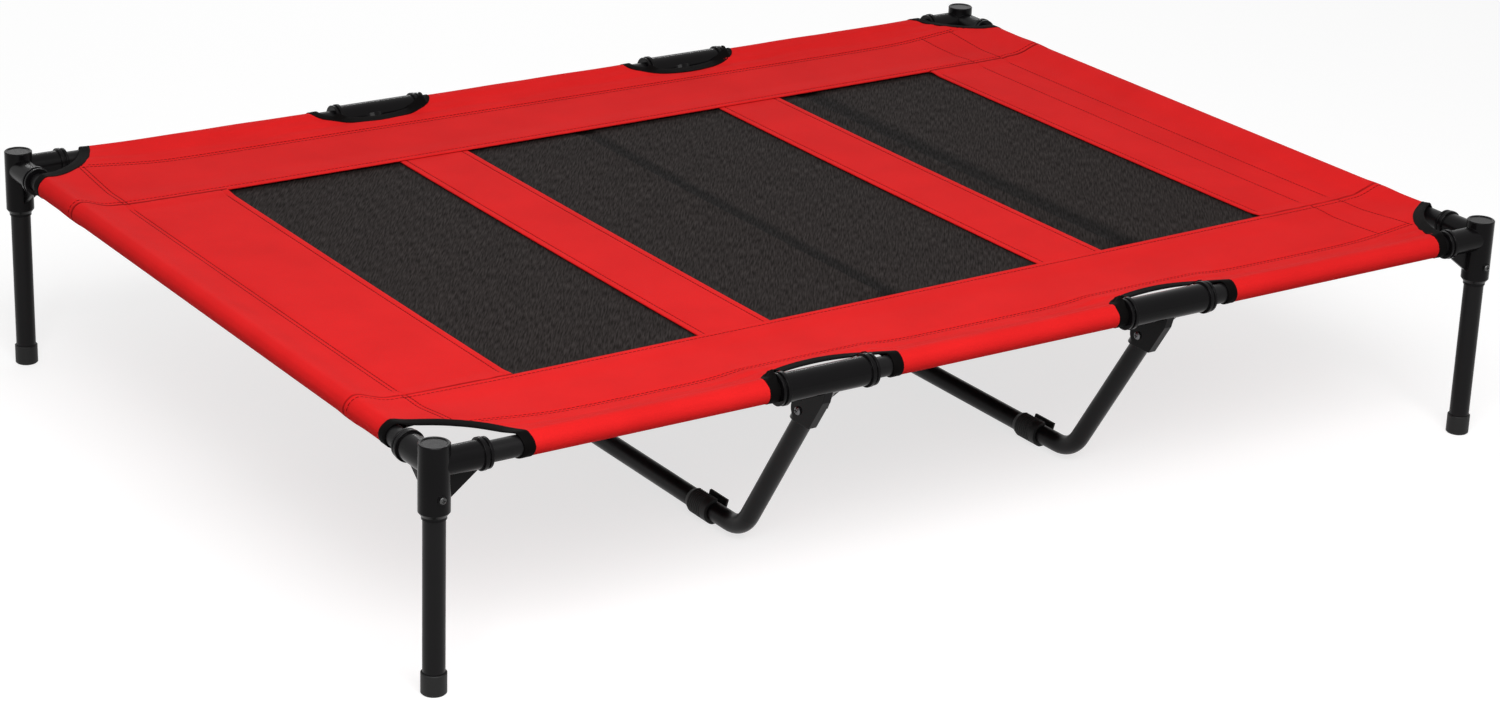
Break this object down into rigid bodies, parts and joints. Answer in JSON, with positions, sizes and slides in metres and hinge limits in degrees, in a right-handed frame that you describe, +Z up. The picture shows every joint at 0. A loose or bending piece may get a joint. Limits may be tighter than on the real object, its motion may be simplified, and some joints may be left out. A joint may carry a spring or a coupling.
{
  "type": "raised dog cot",
  "caption": "Raised pet cot: red fabric cover with black mesh windows, sleeved over a push-fit black tube frame with corner legs and bent support bars under the middle.",
  "frame": {"origin": "on the floor, under the middle of the cot", "axes": "+X along the long side towards the right, +Y from the front side to the rear side, +Z up"},
  "size_m": [1.2214, 0.9052, 0.23],
  "materials": {
    "frame_paint": "black powder coat, satin",
    "connector_plastic": "moulded black plastic, fine grain, satin",
    "foot_plastic": "soft black plastic, matte",
    "fastener_steel": "dark plated steel",
    "cover_red": "coated plain weave polyester, red",
    "cover_mesh": "coated mesh weave, charcoal",
    "binding_tape": "woven binding tape, black"
  },
  "bodies": {
    "root": {"corner_front_left": "connector_plastic", "corner_front_right": "connector_plastic", "corner_rear_left": "connector_plastic", "corner_rear_right": "connector_plastic", "leg_front_left": "frame_paint", "leg_front_right": "frame_paint", "leg_rear_left": "frame_paint", "leg_rear_right": "frame_paint", "foot_cap_front_left": "foot_plastic", "foot_cap_front_right": "foot_plastic", "foot_cap_rear_left": "foot_plastic", "foot_cap_rear_right": "foot_plastic", "leg_screws": "fastener_steel", "front_rail_left": "frame_paint", "front_rail_middle": "frame_paint", "front_rail_right": "frame_paint", "rear_rail_left": "frame_paint", "rear_rail_middle": "frame_paint", "rear_rail_right": "frame_paint", "left_rail": "frame_paint", "right_rail": "frame_paint", "tee_front_left": "connector_plastic", "tee_front_right": "connector_plastic", "tee_rear_left": "connector_plastic", "tee_rear_right": "connector_plastic", "support_bar_left": "frame_paint", "support_bar_right": "frame_paint", "bar_foot_front_left": "foot_plastic", "bar_foot_front_right": "foot_plastic", "bar_foot_rear_left": "foot_plastic", "bar_foot_rear_right": "foot_plastic", "bar_bolts": "fastener_steel", "bar_nuts": "fastener_steel", "front_band": "cover_red", "rear_band": "cover_red", "left_end_panel": "cover_red", "right_end_panel": "cover_red", "cross_strip_left": "cover_red", "cross_strip_right": "cover_red", "mesh_left": "cover_mesh", "mesh_middle": "cover_mesh", "mesh_right": "cover_mesh", "corner_tapes": "binding_tape", "tee_tapes": "binding_tape"}
  },
  "joints": []
}
